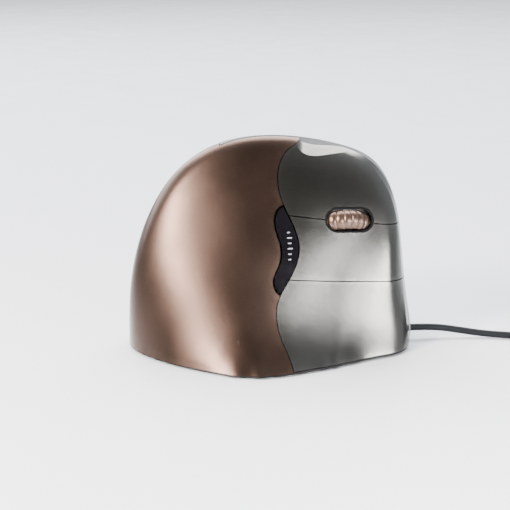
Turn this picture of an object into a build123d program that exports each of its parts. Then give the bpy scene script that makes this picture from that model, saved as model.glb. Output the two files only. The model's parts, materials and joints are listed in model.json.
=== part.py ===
from build123d import *
import math
import os

# Wired vertical mouse for the right hand. +X points to the front, where the cord leaves,
# -Y is the finger side with the main buttons, +Y is the thumb side, and +Z is up.
# The origin is on the table, under the middle of the mouse. All sizes are in millimetres.

# ---- driving dimensions: outer skin ----
CREST = [(56, -12), (53, 0), (51.2, 18), (49.8, 36), (47.8, 53), (43.3, 64), (33.7, 71), (20.5, 75.5),
         (7.5, 77.7), (-6.5, 78), (-21.5, 74.5), (-35, 65), (-45.3, 49.5), (-51.6, 31),
         (-53.8, 10), (-53.4, -12)]
FINGER_FOOT = [(-56, 25), (-36, 36), (-16, 43), (-1, 42.2), (14, 37.4), (34, 29.2), (54, 22.8), (66, 20.5)]
THUMB_FOOT = [(-56, 36), (-36, 38), (-16, 40), (4, 41), (24, 40), (44, 37), (64, 34)]
RIB_AXIS_X, RIB_AXIS_Z = 6.0, -14.0
RIDGE_HEIGHT, RIDGE_Y, RIDGE_HALF = 82.0, 9.0, 10.0
LIP_OUT, LIP_RISE, LIP_SPREAD, LIP_MID_X = 7.0, 8.0, 30.0, -2.0
SCOOP_DEEP, SCOOP_Z, SCOOP_X, SCOOP_TALL, SCOOP_LONG = 9.0, 38.0, 16.0, 18.0, 34.0
WAIST_IN, WAIST_RISE = 5.0, 9.0
FRONT_EDGE, REAR_EDGE = (11.0, 2.6), (2.4, 2.1)
RIB_COUNT, RIB_POINTS, RIB_START = 16, 32, 0.14

# ---- driving dimensions: how far the cutting shapes reach past the mouse ----
FAR, ABOVE, BELOW = 90.0, 120.0, 20.0

# ---- driving dimensions: walls and gaps ----
WALL = 2.0
CAP_WALL = 1.8
SHELL_BOTTOM = 1.2
TRIM_GAP = 0.35
PRESS_GAP = 0.9
THUMB_PROUD = -0.1
CAP_LIFT = 0.4
CHASSIS_TOP, CHASSIS_BACK = 3.6, 5.2
CAP_TRIM_IN = 0.9
FOOT_THICK = 0.6
PLATE_TOP = 2.4
RIM_TOP = 5.0

# ---- driving dimensions: parting lines, as seen from the finger side ----
S_SEAM = [(12.6, 80), (11.2, 76.4), (6.2, 73.2), (2.9, 69.0), (1.7, 60), (4.8, 51.3), (7.8, 41), (4.2, 31.5),
          (-1.6, 22.5), (-1.6, 13), (1.4, 5), (1.8, -4)]
STRIP_EDGE = [(4.4, 55), (0.2, 52), (-0.4, 49), (1.3, 41), (0, 35), (-2.2, 30.5), (-1.6, 27.5), (3, 25.5)]
THUMB_SEAM = [(-17, 84), (-19, 74), (-31, 56), (-36, 36), (-34, 16), (-29, -4)]
PARTING_Y, PARTING_LEAN = -13.5, 0.262
UPPER_SEAM, LOWER_SEAM = (52.3, 0.14), (30.6, 0.10)
BEVEL_WIDE, BEVEL_TALL, BEVEL_RIBS = 4.2, 5.0, 8

# ---- driving dimensions: finger face plane, on which the inner parts are laid out ----
FACE_Y, FACE_PER_X, FACE_PER_Z = -37.4, 0.216, 0.49
HINGE_X, HINGE_DEPTH, HINGE_R = 12.3, 8.2, 1.0
LUG_R, LUG_WIDE, BEARING_WIDE = 2.0, 3.0, 3.0
ROD_LOW, ROD_HIGH = 7.0, 69.0
LUG_HEIGHTS = {"upper": (56, 65), "middle": (34, 43), "lower": (12, 23)}
BEARING_HEIGHTS = (8.5, 28.5, 50.5, 60.5)
SHAFT_PLAY = 0.05
BOARD_DEPTH, BOARD_THICK = 11.0, 1.2
FINGER_BOARD, FINGER_BOARD_SIZE, FINGER_BOARD_ROUND = (30.5, 27.1), (31, 26), 2.0
UPPER_BOARD, UPPER_BOARD_SIZE, UPPER_BOARD_ROUND = (26.3, 62.5), (17.5, 9.6), 1.5
BUTTON_SPOTS = {"upper": (26, 62.5), "middle": (37, 32), "lower": (33, 20)}
SWITCH_LONG, SWITCH_WIDE, SWITCH_TALL = 12.8, 5.8, 5.6
PLUNGER_UP, PLUNGER_LONG, PLUNGER_WIDE, PRESS_CLEAR, POST_R = 0.8, 2.6, 1.3, 0.1, 1.5
TACT_SIDE, TACT_TALL, TACT_UP, TACT_R = 6.0, 3.5, 2.0, 1.7
PLUNGER_DOWN, WELL_DEEP, SWITCH_EDGE = 1.0, 1.7, 0.35

# ---- driving dimensions: button chassis ----
CHASSIS_FOOT, CHASSIS_BEHIND, CHASSIS_IN, BOSS_INTO = 6.0, 9.0, 1.5, 0.4
WINDOW_ROOM, WHEEL_SWITCH_ROOM, WINDOW_DEEP, CUT_DEEP = 1.0, 4.0, 9.0, 12.0
LUG_ROOM, LUG_WINDOW_DEEP, LUG_WINDOW_IN, LUG_SIDE_ROOM = 1.0, 18.0, 6.0, 0.8
WHEEL_WINDOW, WHEEL_WINDOW_AHEAD = (37.0, 12.4), 2.0
TAB_WINDOW, TAB_WINDOW_SPOT = (6.0, 15.0), (-3.6, -9.5)
ROCKER_WINDOW = (5.0, 25.0)
EAR_THICK, ROCKER_EAR_NEAR, ROCKER_EAR_R, ROCKER_EAR_REACH = 1.6, 2.0, 1.6, 3.0
CARRIER_EAR_R, CARRIER_EAR_REACH = 2.0, 8.0
SPEED_REST_SIZE, SPEED_REST_APART = (6.0, 2.4), 14.2
STANDOFFS = {1.8: [(21, 24), (44, 25), (33, 39)], 1.5: [(18, 66.8), (34, 60)]}
POST_OUT, SHORT_POST_OUT = 14.0, 9.0

# ---- driving dimensions: wheel ----
WHEEL_X, WHEEL_Z, WHEEL_SKIN_Y = 27.5, 49.1, -11.0
WHEEL_R, WHEEL_WIDE, WHEEL_DEPTH = 11.3, 7.0, 8.2
TYRE_THICK, TYRE_RIBS, TYRE_GROOVE_R = 2.4, 22, 0.55
TYRE_CHAMFER, HUB_INSET = 2.0, 0.5
HUB_HOLE_RING, HUB_HOLES, HUB_HOLE_R = 5.6, 5, 1.9
AXLE_R, AXLE_PAST = 1.3, 2.4
WHEEL_ROOM_R, WHEEL_ROOM_SIDE, SLOT_LIP = 0.5, 0.6, 0.5
SLOT_LONG, SLOT_TALL, SLOT_RIM, SLOT_GAP = 18.4, 9.2, 0.6, 0.2
ARM_GAP, ARM_THICK, ARM_TALL = 0.4, 1.5, 5.0
ARM_LONG, ARM_AHEAD = 30.0, 2.2
BRIDGE_AHEAD, BRIDGE_THICK, BRIDGE_TALL = 13.1, 1.4, 3.2
TAB_LONG, TAB_THICK, TAB_BACK, TAB_IN, TAB_REACH = 4.0, 1.3, 3.6, 1.15, 10.3
ENCODER_LONG, ENCODER_TALL, ENCODER_OUT, ENCODER_THICK = 9.0, 7.0, 1.5, 2.6
CARRIER_PIN_AHEAD, CARRIER_PIN_R, CARRIER_PIN_PAST = 15.0, 0.9, 1.8
BEZEL_IN = -0.2
WHEEL_SWITCH_SPOT = (24, 36)

# ---- driving dimensions: speed rocker ----
ROCKER_X, ROCKER_Z, ROCKER_PIN_DEPTH, ROCKER_PIN_R = 3.0, 40.5, 6.3, 0.75
ROCKER_PROUD, ROCKER_IN, ROCKER_GAP, ROCKER_ROOM = -0.5, 1.4, 0.4, 0.6
ROCKER_HALF, ROCKER_ARM = 14.5, 8.0
SPEED_BOARD_DEPTH, SPEED_TACT_SIDE, SPEED_TACT_TALL, SPEED_TACT_UP, SPEED_TACT_R = 9.6, 4.4, 2.4, 1.0, 1.1

ROCKER_LUG_R, ROCKER_LUG_LONG, ROCKER_NUB_R, ROCKER_NUB_CLEAR, ROCKER_TRIM_IN = 1.6, 5.2, 1.2, 0.05, 0.6
ROCKER_PIN_HALF, ROCKER_REGION_FRONT = 3.8, 10.0
SPEED_BOARD_SIZE, SPEED_BOARD_THICK = (7.0, 31.0), 1.0

# ---- driving dimensions: thumb side ----
THUMB_CUT = (8, 60)
PANEL = [(-25, 14), (36, 10), (41, 15), (41, 43), (-23, 45.5), (-27, 40)]
PANEL_ROUND, PANEL_GAP, PANEL_PROUD = 6.0, 0.25, -0.7
THUMB_BUTTONS = {"back": [(-20, 48.6), (4.6, 47.6), (4.2, 57.6), (-15, 57.2)],
                 "forward": [(6.4, 47.5), (30, 46.8), (27, 56.6), (6.0, 57.6)]}
THUMB_ROUND, THUMB_BUTTON_PROUD, THUMB_BUTTON_IN, THUMB_GAP = 2.4, -1.4, 0.4, 0.35
THUMB_ROD_Y, THUMB_ROD_Z, THUMB_ROD_ENDS = 11.6, 59.8, (-13.2, 12.4)
THUMB_BEARING_WIDE, THUMB_LUG_R = 2.0, 1.7
LUG_ARMS = (((11.9, 56.2), (2.6, 7.2)), ((13.6, 53.6), (6.0, 4.0)))
NUB_LONG = 8.0
THUMB_LUGS = {"back": (-8, 1), "forward": (8.0,)}
THUMB_BEARINGS = (-12, 4.9, 11.2)
BEARING_STEPS = (((9.5, 58.6), (18.5, 62.6)), ((8, 54), (12.6, 61)), ((4.8, 53.2), (8.4, 55.4)))
THUMB_PRESS = {"back": -6.5, "forward": 8.6}
THUMB_PRESS_Z, THUMB_BOARD_Y = 50.0, 3.6
THUMB_BOARD_X, THUMB_BOARD_Z, THUMB_BOARD_LONG, THUMB_BOARD_TALL = -1.0, 49.2, 26.0, 10.6
THUMB_BOSS_TOP = 10.8
FRONT_RIB_X, FRONT_RIB_Z, FRONT_RIB_SIZE = 48.0, 8.0, (8.0, 2.0, 5.6)

# ---- driving dimensions: base, main board and fasteners ----
PLATE_INSET, RIM_OUT, RIM_IN = 0.45, 3.2, 4.7
BOSSES = {"palm": [(-39.5, -6), (-39.5, 11)], "thumb": [(42, 13), (12, 33.2)],
          "chassis": [(41, -14.5), (-1, -25)]}
BOSS_R, SCREW_R, HEAD_R, HEAD_TALL, SCREW_LONG = 2.8, 1.1, 2.3, 1.2, 7.0
BOSS_PLAY, SCREW_PLAY, HEAD_PLAY, HEAD_SUNK = 0.3, 0.15, 0.2, 0.1
CROSS_LONG, CROSS_WIDE, CROSS_DEEP = 2.6, 0.6, 0.6
MAIN_BOARD_Z, MAIN_BOARD_SPAN = 7.0, ((-27, 33), (-16, 20))
MAIN_BOARD_THICK, MAIN_BOARD_ROUND = 1.6, 3.0
BOARD_POSTS = [(-23, -12), (-23, 16), (29, -6), (29, 16)]
BOARD_POST_R, BOARD_HOLE_R, BOARD_HEAD_R = 2.4, 1.1, 1.9
BOARD_HEAD_TALL, BOARD_SCREW_R, BOARD_SCREW_DOWN = 1.2, 1.0, 1.5
SENSOR_X, SENSOR_Y = 0.0, 2.0
SENSOR_WINDOW, SENSOR_HOLE = (13.0, 9.0, 2.5), (8.0, 6.0, 1.0)
SENSOR_LONG, SENSOR_WIDE, SENSOR_TALL, SENSOR_EDGE = 11.0, 10.0, 3.0, 0.5
LENS_FLANGE, LENS_FLANGE_THICK, LENS_NECK = (19, 12, 2), 1.6, (7.4, 5.4, 1)
LENS_RISE, LENS_R, LENS_DROP = 0.8, 3.2, 0.9
LED_AHEAD, LED_UP, LED_R, LED_LONG, LED_BASE, LED_BASE_THICK = 6.0, 1.6, 1.5, 4.5, 3.2, 1.0
CONNECTOR_SPOT, CONNECTOR_SIZE = (29.0, 5.0), (6.0, 8.0, 4.4)
RIBBON_THICK, RIBBON_WIDE, RIBBON_LIFT, FINGER_RIBBON_X, THUMB_RIBBON_X = 0.4, 7.0, 0.2, 16.0, -18.0
FEET = [(-44, 4, 8, 22), (44.5, 5, 6, 20), (-4, -29.5, 24, 6.5), (0, 30, 26, 6.5)]

# ---- driving dimensions: cord ----
CORD_R = 1.3
EXIT = (53.0, -6.0, 4.5)
RELIEF_BACK, RELIEF_TAPER, RELIEF_R, RELIEF_TIP_R = 44.0, 51.4, 2.05, 1.7
GLAND_HOLE_R, GLAND_DEEP, GLAND_NOTCH, GLAND_NOTCH_AT = 2.1, 12.0, (10.0, 5.2, 5.0), (46.0, 0.3)
INNER_CORD_R = 1.1
INNER_ROUTE = [(44.0, -6.0, 4.5), (41.0, -6.0, 4.9), (38.6, -4.4, 6.8), (37.0, -1.6, 9.1),
               (35.2, 1.9, 10.6), (32.0, 4.6, 10.9)]
COIL_X, COIL_Y, COIL_R, COIL_SIDE, COIL_ROUND = 119.0, -1.0, 15.6, 10.6, 2.4
TIE_THICK, TIE_WIDE, TIE_ROOM, TIE_PLAY = 0.6, 5.0, 0.5, 0.1
RUN_ROUTE = [EXIT, (62, -6, 4.4), (71, -6.7, 3.0), (81, -8.8, 1.6), (91.6, -11.8, 1.35),
             (103, -15.8, 1.35), (113.9, -19.9, 1.35)]
TAIL_ROUTE = [(135.8, 0.7, 9.3), (137.9, 9.0, 8.6), (138.8, 17.6, 5.0), (141.8, 25.6, 1.9),
              (149.4, 30.2, 1.35), (158.4, 29.4, 1.35), (164.8, 23.2, 2.0), (166.5, 14.6, 4.2)]
PLUG_WIDE, PLUG_HIGH, PLUG_LONG = 15.5, 8.2, 23.0
NECK_LONG, NECK_R, NECK_BASE_R, PLUG_ROUND = 6.0, 1.7, 2.6, 2.0
USB_WIDE, USB_HIGH, USB_LONG, USB_WALL = 12.0, 4.5, 12.0, 0.3
TONGUE_THICK, TONGUE_SHORT = 1.8, 0.6

os.makedirs("parts", exist_ok=True)


# ---- outer skin of the mouse ----
def smooth(t):
    t = min(max(t, 0.0), 1.0)
    return t * t * (3 - 2 * t)


def through(points, x):
    """Value at x of a smooth curve through the points (cubic between neighbours)."""
    i = max(k for k in range(len(points) - 1) if k == 0 or points[k][0] <= x)
    (x0, y0), (x1, y1) = points[i], points[i + 1]
    before, after = points[max(i - 1, 0)], points[min(i + 2, len(points) - 1)]
    slope0 = (y1 - before[1]) / (x1 - before[0])
    slope1 = (after[1] - y0) / (after[0] - x0)
    t, span = (x - x0) / (x1 - x0), x1 - x0
    rise = (2 * t ** 3 - 3 * t ** 2 + 1) * y0 + (3 * t ** 2 - 2 * t ** 3) * y1
    return rise + (t ** 3 - 2 * t ** 2 + t) * span * slope0 + (t ** 3 - t ** 2) * span * slope1


def ridge_line(z):
    return RIDGE_Y * smooth(z / RIDGE_HEIGHT)


def finger_side(x, z):
    """Y of the finger side before its edges are rounded: a leaning face that flares to a lip."""
    up = max(z, 0.0)
    flare = LIP_OUT * (0.25 + 0.75 * math.exp(-((x - LIP_MID_X) / LIP_SPREAD) ** 2))
    foot = flare - through(FINGER_FOOT, x)
    return foot + (RIDGE_Y - RIDGE_HALF - foot) * up / RIDGE_HEIGHT - flare * math.exp(-up / LIP_RISE)


def thumb_side(x, z):
    """Y of the thumb side before its edges are rounded: a leaning face with a thumb scoop."""
    up = max(z, 0.0)
    foot = through(THUMB_FOOT, x)
    lean = foot + (RIDGE_Y + RIDGE_HALF - foot) * up / RIDGE_HEIGHT
    spread = ((up - SCOOP_Z) / SCOOP_TALL) ** 2 + ((x - SCOOP_X) / SCOOP_LONG) ** 2
    return lean - SCOOP_DEEP * math.exp(-spread) - WAIST_IN * (1 - math.exp(-up / WAIST_RISE))


def evenly(points, count):
    """The same line with count + 1 points at even distances along it."""
    along = [0.0]
    for a, b in zip(points, points[1:]):
        along.append(along[-1] + math.dist(a, b))
    result, k = [], 0
    for i in range(count + 1):
        goal = along[-1] * i / count
        while k < len(points) - 2 and along[k + 1] < goal:
            k += 1
        t = (goal - along[k]) / (along[k + 1] - along[k])
        result.append(tuple(p + (q - p) * t for p, q in zip(points[k], points[k + 1])))
    return result


def rib(crest, inset, count):
    """Cross-section in the half plane from the rib axis through one crest point, as count runs."""
    dx, dz = crest.X - RIB_AXIS_X, crest.Z - RIB_AXIS_Z
    reach = math.hypot(dx, dz)
    blend = smooth((math.degrees(math.atan2(dz, dx)) - 40) / 80)
    flat, full = (a + (b - a) * blend for a, b in zip(FRONT_EDGE, REAR_EDGE))
    sides = []
    for side, out in ((finger_side, 1), (thumb_side, -1)):
        line = []
        for step in range(241):
            s = 1 - (1 - RIB_START) * (1 - step / 240) ** 2.2
            x, z = RIB_AXIS_X + s * dx, RIB_AXIS_Z + s * dz
            width = (1 - s ** flat) ** (1 / full)
            y = side(x, z) + inset * 1.1 * out
            line.append((ridge_line(z) + (y - ridge_line(z)) * width, s * reach))
        sides.append(line)
    return evenly(sides[0] + sides[1][-2::-1], count)


def rib_station(index, inset=0.0):
    """The crest point of one rib and the plane that the rib is drawn in."""
    profile = Spline(*[(x, 0, z) for x, z in CREST], mode=Mode.PRIVATE)
    share = index / (RIB_COUNT - 1)
    ahead = profile % share
    crest = (profile @ share) + Vector(-ahead.Z, 0, ahead.X) * inset
    up = Vector(crest.X - RIB_AXIS_X, 0, crest.Z - RIB_AXIS_Z).normalized()
    return crest, Plane((RIB_AXIS_X, 0, RIB_AXIS_Z), x_dir=(0, 1, 0), z_dir=Vector(0, 1, 0).cross(up))


def skin(inset=0.0):
    """The whole mouse as one solid, reaching below the table, inset mm inside its outer skin."""
    even = [i / RIB_POINTS for i in range(RIB_POINTS + 1)]
    with BuildPart() as body:
        for i in range(RIB_COUNT):
            crest, rib_plane = rib_station(i, inset)
            with BuildSketch(rib_plane):
                with BuildLine():
                    line = rib(crest, inset, RIB_POINTS)
                    add(Edge.make_spline([Vector(*p) for p in line], parameters=even))
                    Line(line[-1], line[0])
                make_face()
        loft()
    return body.part


def bevel_wedge():
    """What the bevel takes off the buttons along their top and front edges."""
    with BuildPart() as wedge:
        for i in range(BEVEL_RIBS):
            crest, rib_plane = rib_station(i)
            up_z = (crest.Z - RIB_AXIS_Z) / math.hypot(crest.X - RIB_AXIS_X, crest.Z - RIB_AXIS_Z)
            line = rib(crest, 0.0, 10 * RIB_POINTS)
            past = [y - PARTING_Y - PARTING_LEAN * (RIB_AXIS_Z + r * up_z) for y, r in line]
            beyond = next(k for k, distance in enumerate(past) if distance > 0)
            outer = line[beyond]
            inner = next(p for p in reversed(line[:beyond]) if math.dist(p, outer) > BEVEL_WIDE)
            along = ((outer[0] - inner[0]) / BEVEL_WIDE, (outer[1] - inner[1]) / BEVEL_WIDE)
            far = [(outer[0] + along[0] * BEVEL_WIDE, outer[1] + along[1] * BEVEL_WIDE),
                   (inner[0] - along[0] * BEVEL_WIDE, inner[1] - along[1] * BEVEL_WIDE)]
            peak = (inner[0] - along[1] * BEVEL_TALL, inner[1] + along[0] * BEVEL_TALL)
            with BuildSketch(rib_plane):
                with BuildLine():
                    Polyline(far[0], far[1], peak, close=True)
                make_face()
        loft()
    return wedge.part


def block(points, low, high):
    """A prism along Y from an outline in the XZ plane."""
    with BuildPart() as prism:
        with BuildSketch(Plane.XZ.offset(-high)):
            with BuildLine():
                Polyline(*points, close=True)
            make_face()
        extrude(amount=high - low)
    return prism.part


def ahead_of(seam, shift=0.0):
    """Everything in front of a seam curve, moved forward by shift."""
    with BuildPart() as prism:
        with BuildSketch(Plane.XZ.offset(-FAR)):
            with BuildLine():
                edge = Spline(*[(x + shift, z) for x, z in seam])
                Polyline(edge @ 1, (FAR, (edge @ 1).Y), (FAR, (edge @ 0).Y), edge @ 0)
            make_face()
        extrude(amount=2 * FAR)
    return prism.part


def slab(low, high):
    """Everything between two heights."""
    with BuildPart() as layer:
        with Locations((0, 0, (low + high) / 2)):
            Box(2 * FAR, 2 * FAR, high - low)
    return layer.part


def finger_of_parting(shift):
    """Everything on the finger side of the leaning parting plane, moved by shift along Y."""
    edge = [(PARTING_Y + PARTING_LEAN * z + shift, z) for z in (-BELOW, ABOVE)]
    with BuildPart() as side:
        with BuildSketch(Plane.YZ.offset(-FAR)):
            with BuildLine():
                Polyline((-FAR, -BELOW), edge[0], edge[1], (-FAR, ABOVE), close=True)
            make_face()
        extrude(amount=2 * FAR)
    return side.part


def seam_band(seam, gap):
    """A thin cut along a button seam, which falls towards the front."""
    level, fall = seam
    (back_x, back_z), (front_x, front_z) = [(x, level - fall * x) for x in (-BELOW, FAR)]
    return block([(back_x, back_z - gap / 2), (front_x, front_z - gap / 2),
                  (front_x, front_z + gap / 2), (back_x, back_z + gap / 2)], -FAR, FAR)


def below_seam(seam):
    """Everything under a button seam."""
    level, fall = seam
    return block([(-BELOW, level + BELOW * fall), (FAR, level - FAR * fall), (FAR, -BELOW),
                  (-BELOW, -BELOW)], -FAR, FAR)


FACE_NORMAL = Vector(FACE_PER_X, -1, FACE_PER_Z).normalized()
FACE_UP = Vector(0, FACE_PER_Z, 1).normalized()
FACE_AHEAD = FACE_UP.cross(FACE_NORMAL)


def on_face(x, z, depth=0.0):
    """A plane parallel to the finger face, at the given place and depth below it."""
    spot = Vector(x, FACE_Y + FACE_PER_X * x + FACE_PER_Z * z, z)
    return Plane(spot - FACE_NORMAL * depth, x_dir=FACE_AHEAD, z_dir=FACE_NORMAL)


def rod_at(z, depth=HINGE_DEPTH):
    """A plane across the button hinge rod at height z, with its normal along the rod."""
    foot = on_face(HINGE_X, 0, depth)
    spot = foot.origin + FACE_UP * (z / FACE_UP.Z)
    return Plane(spot, x_dir=FACE_AHEAD, z_dir=FACE_UP)


def stadium(plane, long, tall, depth):
    """A stadium-shaped plug centred on a plane, reaching depth both ways."""
    with BuildPart() as plug:
        with BuildSketch(plane):
            SlotOverall(long, tall)
        extrude(amount=depth, both=True)
    return plug.part


def finish(name, part):
    part.label = name
    export_step(part, f"parts/{name}.step")


OUTER = skin()
INNER = skin(WALL)
CAP_INNER = skin(CAP_WALL)
THUMB_OUTER = skin(THUMB_PROUD)
wheel_plane = Plane(Vector(WHEEL_X, WHEEL_SKIN_Y, WHEEL_Z), x_dir=FACE_AHEAD, z_dir=FACE_NORMAL)
wheel_hub_plane = Plane(wheel_plane.origin - FACE_NORMAL * WHEEL_DEPTH, x_dir=FACE_AHEAD, z_dir=FACE_UP)


# ---- shells ----
def rounded(points, radius, grow, low, high):
    """A prism along Y from a polygon with rounded corners, grown outwards by grow."""
    with BuildPart() as prism:
        with BuildSketch(Plane.XZ.offset(-high)) as outline:
            with BuildLine():
                Polyline(*points, close=True)
            make_face()
            fillet(outline.vertices(), radius)
            if grow:
                offset(amount=grow)
        extrude(amount=high - low)
    return prism.part


def posts(spots, low, high, radius, top):
    """Upright posts that end on the skin called top."""
    with BuildPart() as group:
        with BuildSketch(Plane.XY.offset(low)):
            with Locations(*spots):
                Circle(radius)
        extrude(amount=high - low)
        add(top, mode=Mode.INTERSECT)
    return group.part


def screw_holes(spots):
    with BuildPart() as holes:
        with BuildSketch(Plane.XY.offset(-1)):
            with Locations(*spots):
                Circle(SCREW_R)
        extrude(amount=SCREW_LONG + 3)
    return holes.part


def strip_region(shift):
    """The crescent of the speed rocker, grown by shift, before its front edge is cut by the S seam."""
    stretch = 1 + shift / ROCKER_HALF
    with BuildPart() as prism:
        with BuildSketch(Plane.XZ):
            with BuildLine():
                edge = Spline(*[(x - shift, ROCKER_Z + (z - ROCKER_Z) * stretch) for x, z in STRIP_EDGE])
                Polyline(edge @ 0, (ROCKER_REGION_FRONT, (edge @ 0).Y),
                         (ROCKER_REGION_FRONT, (edge @ 1).Y), edge @ 1)
            make_face()
        extrude(amount=FAR)
    return prism.part


THUMB_SIDE = slab(-BELOW, ABOVE) - finger_of_parting(PRESS_GAP)
BOSS_TOP = skin(1.0)
CHASSIS_OUTER, CHASSIS_INNER = skin(CHASSIS_TOP), skin(CHASSIS_BACK)

with BuildPart() as palm_shell:
    add(OUTER)
    add(slab(SHELL_BOTTOM, ABOVE), mode=Mode.INTERSECT)
    add(INNER, mode=Mode.SUBTRACT)
    add(ahead_of(S_SEAM, -TRIM_GAP / 2) & finger_of_parting(PRESS_GAP - TRIM_GAP), mode=Mode.SUBTRACT)
    add(ahead_of(THUMB_SEAM) - finger_of_parting(PRESS_GAP - TRIM_GAP), mode=Mode.SUBTRACT)
    add(strip_region(ROCKER_ROOM), mode=Mode.SUBTRACT)
    add(posts(BOSSES["palm"], PLATE_TOP, FAR, BOSS_R, BOSS_TOP))
    add(screw_holes(BOSSES["palm"]), mode=Mode.SUBTRACT)
finish("palm_shell", palm_shell.part)

def along_thumb_rod(low_x, high_x, radius):
    """A round bar on the axis of the thumb buttons' rod."""
    with BuildPart() as bar:
        with BuildSketch(Plane.YZ.offset(low_x)):
            with Locations((THUMB_ROD_Y, THUMB_ROD_Z)):
                Circle(radius)
        extrude(amount=high_x - low_x)
    return bar.part


with BuildPart() as bearings:
    for x in THUMB_BEARINGS:
        for (low_y, low_z), (high_y, high_z) in BEARING_STEPS:
            with Locations((x, (low_y + high_y) / 2, (low_z + high_z) / 2)):
                Box(THUMB_BEARING_WIDE, high_y - low_y, high_z - low_z)
    add(BOSS_TOP, mode=Mode.INTERSECT)
    add(along_thumb_rod(-FAR, FAR, HINGE_R), mode=Mode.SUBTRACT)

with BuildPart() as front_rib:
    with Locations((FRONT_RIB_X, BOSSES["thumb"][0][1], FRONT_RIB_Z)):
        Box(*FRONT_RIB_SIZE)
    add(BOSS_TOP, mode=Mode.INTERSECT)

with BuildPart() as thumb_shell:
    add(THUMB_OUTER)
    add(slab(SHELL_BOTTOM, ABOVE), mode=Mode.INTERSECT)
    add(INNER, mode=Mode.SUBTRACT)
    add(ahead_of(THUMB_SEAM, TRIM_GAP), mode=Mode.INTERSECT)
    add(THUMB_SIDE, mode=Mode.INTERSECT)
    add(rounded(PANEL, PANEL_ROUND, PANEL_GAP, *THUMB_CUT), mode=Mode.SUBTRACT)
    for outline in THUMB_BUTTONS.values():
        add(rounded(outline, THUMB_ROUND, THUMB_GAP, *THUMB_CUT), mode=Mode.SUBTRACT)
    add(posts(BOSSES["thumb"], PLATE_TOP, THUMB_BOSS_TOP, BOSS_R, BOSS_TOP))
    add(front_rib.part)
    add(screw_holes(BOSSES["thumb"]), mode=Mode.SUBTRACT)
    add(bearings.part)
    with BuildSketch(Plane.YZ.offset(RELIEF_BACK)):
        with Locations((EXIT[1], EXIT[2])):
            Circle(GLAND_HOLE_R)
    extrude(amount=GLAND_DEEP, mode=Mode.SUBTRACT)
finish("thumb_shell", thumb_shell.part)

with BuildPart() as thumb_panel:
    add(skin(PANEL_PROUD))
    add(rounded(PANEL, PANEL_ROUND, 0, *THUMB_CUT), mode=Mode.INTERSECT)
    add(INNER, mode=Mode.SUBTRACT)
finish("thumb_panel", thumb_panel.part)


# ---- thumb buttons on their rod ----
THUMB_BUTTON_OUTER, THUMB_BUTTON_INNER = skin(THUMB_BUTTON_PROUD), skin(THUMB_BUTTON_IN)
PRESS_TOP_Y = THUMB_BOARD_Y + BOARD_THICK + TACT_TALL + TACT_UP


def thumb_button(side):
    """A thin curved key with two hinge lugs and the nub that presses its switch."""
    with BuildPart() as inside:
        for x in THUMB_LUGS[side]:
            for (arm_y, arm_z), (deep, tall) in LUG_ARMS:
                with Locations((x, arm_y, arm_z)):
                    Box(LUG_WIDE, deep, tall)
            add(along_thumb_rod(x - LUG_WIDE / 2, x + LUG_WIDE / 2, THUMB_LUG_R))
        with BuildSketch(Plane.XZ.offset(-PRESS_TOP_Y - PRESS_CLEAR)):
            with Locations((THUMB_PRESS[side], THUMB_PRESS_Z)):
                Circle(POST_R)
        extrude(amount=-NUB_LONG)
        add(OUTER, mode=Mode.INTERSECT)
        add(along_thumb_rod(-FAR, FAR, HINGE_R + SHAFT_PLAY), mode=Mode.SUBTRACT)
    with BuildPart() as key:
        add(THUMB_BUTTON_OUTER)
        add(rounded(THUMB_BUTTONS[side], THUMB_ROUND, 0, *THUMB_CUT), mode=Mode.INTERSECT)
        add(THUMB_BUTTON_INNER, mode=Mode.SUBTRACT)
        add(inside.part)
    return key.part


for side in THUMB_BUTTONS:
    finish(f"thumb_button_{side}", thumb_button(side))

finish("thumb_hinge_rod", along_thumb_rod(*THUMB_ROD_ENDS, HINGE_R))

with BuildPart() as thumb_board:
    with Locations((THUMB_BOARD_X, THUMB_BOARD_Y + BOARD_THICK / 2, THUMB_BOARD_Z)):
        Box(THUMB_BOARD_LONG, BOARD_THICK, THUMB_BOARD_TALL)
finish("thumb_board", thumb_board.part)


def push_switch(name, plane, body_outline, tall, plunger_outline, up):
    """A switch body with a well in its top, and the plunger that slides in the well."""
    with BuildPart() as body:
        with BuildSketch(plane):
            body_outline()
        extrude(amount=tall)
        chamfer(body.faces().sort_by(Axis(plane.origin, plane.z_dir))[-1].edges(), SWITCH_EDGE)
        with BuildSketch(plane.offset(tall - WELL_DEEP)):
            plunger_outline(SHAFT_PLAY)
        extrude(amount=WELL_DEEP, mode=Mode.SUBTRACT)
    with BuildPart() as plunger:
        with BuildSketch(plane.offset(tall - PLUNGER_DOWN)):
            plunger_outline(0)
        extrude(amount=PLUNGER_DOWN + up)
    finish(f"{name}_switch", body.part)
    finish(f"{name}_plunger", plunger.part)


def tact_switch(name, plane, side, tall, up, radius):
    """A square push switch with a round plunger, rising from its board."""
    push_switch(name, plane, lambda: Rectangle(side, side), tall, lambda grow: Circle(radius + grow), up)


def micro_switch(name, spot):
    """A long switch with a small flat plunger over its middle."""
    push_switch(name, on_face(*spot, BOARD_DEPTH), lambda: Rectangle(SWITCH_LONG, SWITCH_WIDE), SWITCH_TALL,
                lambda grow: SlotOverall(PLUNGER_LONG + 2 * grow, PLUNGER_WIDE + 2 * grow), PLUNGER_UP)


for side, x in THUMB_PRESS.items():
    spot = Plane((x, THUMB_BOARD_Y + BOARD_THICK, THUMB_PRESS_Z), x_dir=(1, 0, 0), z_dir=(0, 1, 0))
    tact_switch(f"thumb_{side}", spot, TACT_SIDE, TACT_TALL, TACT_UP, TACT_R)


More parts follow.
